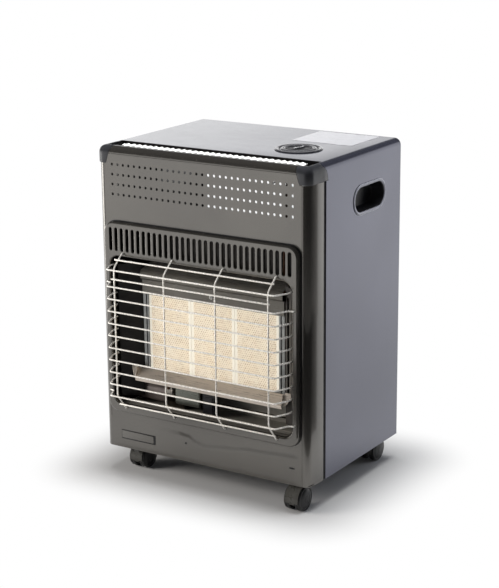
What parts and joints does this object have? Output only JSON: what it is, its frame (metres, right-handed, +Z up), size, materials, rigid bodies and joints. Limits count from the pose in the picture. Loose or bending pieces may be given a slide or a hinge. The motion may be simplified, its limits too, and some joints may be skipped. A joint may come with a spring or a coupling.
{
  "type": "portable gas cabinet heater",
  "caption": "Portable radiant gas heater: charcoal steel cabinet on twin-wheel castors, ceramic plaque burner behind a bright wire guard, control knob on top.",
  "frame": {"origin": "middle of the floor area, on the floor under the castors", "axes": "+X to the right seen from the front, -Y out of the burner's front, +Z up"},
  "size_m": [0.4234, 0.3502, 0.588],
  "materials": {
    "cabinet_paint": "semi-gloss charcoal powder paint",
    "cap_plastic": "fine-grained grey moulding",
    "black_plastic": "satin black moulding",
    "dark_steel": "heat-darkened sheet",
    "bright_steel": "polished sheet",
    "zinc_sheet": "zinc-plated sheet",
    "guard_wire": "bright plated wire",
    "plaque_ceramic": "cream, finely perforated",
    "brass_body": "machined",
    "copper_pipe": "drawn copper tube",
    "lead_rubber": "silicone sleeve",
    "castor_tread": "hard dark grey moulding"
  },
  "bodies": {
    "cabinet": {"cabinet_wrap": "cabinet_paint", "front_panel": "cabinet_paint", "grille_surround": "cabinet_paint", "corner_cap_left": "cap_plastic", "corner_cap_right": "cap_plastic", "vent_comb": "bright_steel", "wire_guard": "guard_wire", "base_tray": "dark_steel", "handle_cup_right": "black_plastic", "handle_cup_left": "black_plastic", "burner_housing": "zinc_sheet", "ceramic_plaque_1": "plaque_ceramic", "ceramic_plaque_2": "plaque_ceramic", "ceramic_plaque_3": "plaque_ceramic", "burner_hood": "bright_steel", "lower_reflector": "bright_steel", "side_reflector_right": "dark_steel", "side_reflector_left": "dark_steel", "cavity_tray": "bright_steel", "heat_shield": "dark_steel", "mixing_tube": "zinc_sheet", "injector": "brass_body", "pilot_burner": "bright_steel", "gas_valve": "brass_body", "valve_bracket": "zinc_sheet", "hose_inlet": "brass_body", "burner_pipe": "copper_pipe", "pilot_pipe": "copper_pipe", "thermocouple": "copper_pipe", "spark_electrode": "plaque_ceramic", "ignition_lead": "lead_rubber", "piezo_igniter": "black_plastic", "tilt_switch": "black_plastic", "knob_bezel": "black_plastic"},
    "rear_cover_body": {"rear_cover": "cabinet_paint"},
    "control_spindle": {"valve_spindle": "brass_body"},
    "control_knob_body": {"control_knob": "black_plastic"},
    "castor_front_left": {"castor_housing_front_left": "black_plastic", "castor_axle_front_left": "zinc_sheet"},
    "wheel_a_front_left": {"castor_wheel_a_front_left": "castor_tread"},
    "wheel_b_front_left": {"castor_wheel_b_front_left": "castor_tread"},
    "castor_front_right": {"castor_housing_front_right": "black_plastic", "castor_axle_front_right": "zinc_sheet"},
    "wheel_a_front_right": {"castor_wheel_a_front_right": "castor_tread"},
    "wheel_b_front_right": {"castor_wheel_b_front_right": "castor_tread"},
    "castor_rear_left": {"castor_housing_rear_left": "black_plastic", "castor_axle_rear_left": "zinc_sheet"},
    "wheel_a_rear_left": {"castor_wheel_a_rear_left": "castor_tread"},
    "wheel_b_rear_left": {"castor_wheel_b_rear_left": "castor_tread"},
    "castor_rear_right": {"castor_housing_rear_right": "black_plastic", "castor_axle_rear_right": "zinc_sheet"},
    "wheel_a_rear_right": {"castor_wheel_a_rear_right": "castor_tread"},
    "wheel_b_rear_right": {"castor_wheel_b_rear_right": "castor_tread"}
  },
  "joints": [
    {"name": "rear_cover_lift", "type": "slide", "parent": "cabinet", "child": "rear_cover_body", "axis": [0, 0, 1], "range_m": [0, 0.012]},
    {"name": "knob_press", "type": "slide", "parent": "cabinet", "child": "control_spindle", "axis": [0, 0, -1], "range_m": [0, 0.005], "stiffness_N_per_m": 800, "springref_m": -0.002},
    {"name": "knob_turn", "type": "hinge", "parent": "control_spindle", "child": "control_knob_body", "pos_m": [0.1095, 0.00025, 0.584], "axis": [0, 0, 1], "range_deg": [0, 210]},
    {"name": "castor_swivel_front_left", "type": "hinge", "parent": "cabinet", "child": "castor_front_left", "pos_m": [-0.158, -0.10975, 0.045], "axis": [0, 0, 1], "continuous": true},
    {"name": "wheel_spin_a_front_left", "type": "hinge", "parent": "castor_front_left", "child": "wheel_a_front_left", "pos_m": [-0.158, -0.09525, 0.021], "axis": [1, 0, 0], "continuous": true},
    {"name": "wheel_spin_b_front_left", "type": "hinge", "parent": "castor_front_left", "child": "wheel_b_front_left", "pos_m": [-0.158, -0.09525, 0.021], "axis": [1, 0, 0], "continuous": true},
    {"name": "castor_swivel_front_right", "type": "hinge", "parent": "cabinet", "child": "castor_front_right", "pos_m": [0.181, -0.10975, 0.045], "axis": [0, 0, 1], "continuous": true},
    {"name": "wheel_spin_a_front_right", "type": "hinge", "parent": "castor_front_right", "child": "wheel_a_front_right", "pos_m": [0.181, -0.12425, 0.021], "axis": [1, 0, 0], "continuous": true},
    {"name": "wheel_spin_b_front_right", "type": "hinge", "parent": "castor_front_right", "child": "wheel_b_front_right", "pos_m": [0.181, -0.12425, 0.021], "axis": [1, 0, 0], "continuous": true},
    {"name": "castor_swivel_rear_left", "type": "hinge", "parent": "cabinet", "child": "castor_rear_left", "pos_m": [-0.176, 0.13025, 0.045], "axis": [0, 0, 1], "continuous": true},
    {"name": "wheel_spin_a_rear_left", "type": "hinge", "parent": "castor_rear_left", "child": "wheel_a_rear_left", "pos_m": [-0.176, 0.14475, 0.021], "axis": [1, 0, 0], "continuous": true},
    {"name": "wheel_spin_b_rear_left", "type": "hinge", "parent": "castor_rear_left", "child": "wheel_b_rear_left", "pos_m": [-0.176, 0.14475, 0.021], "axis": [1, 0, 0], "continuous": true},
    {"name": "castor_swivel_rear_right", "type": "hinge", "parent": "cabinet", "child": "castor_rear_right", "pos_m": [0.175, 0.13025, 0.045], "axis": [0, 0, 1], "continuous": true},
    {"name": "wheel_spin_a_rear_right", "type": "hinge", "parent": "castor_rear_right", "child": "wheel_a_rear_right", "pos_m": [0.175, 0.14475, 0.021], "axis": [1, 0, 0], "continuous": true},
    {"name": "wheel_spin_b_rear_right", "type": "hinge", "parent": "castor_rear_right", "child": "wheel_b_rear_right", "pos_m": [0.175, 0.14475, 0.021], "axis": [1, 0, 0], "continuous": true}
  ]
}
